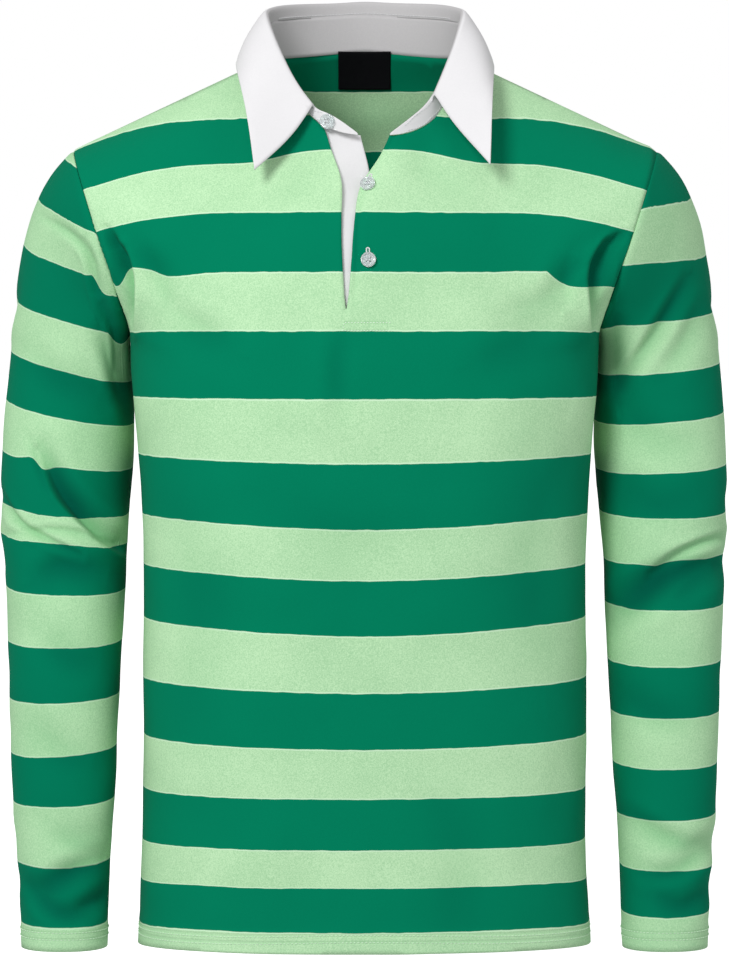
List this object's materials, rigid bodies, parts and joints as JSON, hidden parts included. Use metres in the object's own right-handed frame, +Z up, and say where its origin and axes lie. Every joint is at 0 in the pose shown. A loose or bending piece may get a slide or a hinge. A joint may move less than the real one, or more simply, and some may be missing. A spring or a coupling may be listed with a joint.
{
  "type": "long-sleeved rugby polo shirt",
  "caption": "Long-sleeved striped jersey polo shirt, filled out as when worn, with a white twill collar, an open buttoned placket and straight cuffs.",
  "frame": {"origin": "midway between the neck ends of the two shoulder seams, level with them, where the wearer carries the shirt", "axes": "+Z up along the body to the collar, -Y to the wearer's front, +X to the viewer's right"},
  "size_m": [0.577, 0.2371, 0.7485],
  "materials": {
    "striped_jersey": "matt cotton jersey, striped across in dark green and mint",
    "white_twill": "matt white cotton twill",
    "black_label": "black woven satin, bare",
    "clear_buttons": "polished, slightly see-through"
  },
  "bodies": {
    "root": {"front": "striped_jersey", "back": "striped_jersey", "sleeve_left": "striped_jersey", "sleeve_right": "striped_jersey", "collar_stand": "white_twill", "collar_fall": "white_twill", "under_placket": "white_twill", "neck_label": "black_label", "button_neck": "clear_buttons", "button_1": "clear_buttons", "button_2": "clear_buttons"}
  },
  "joints": []
}
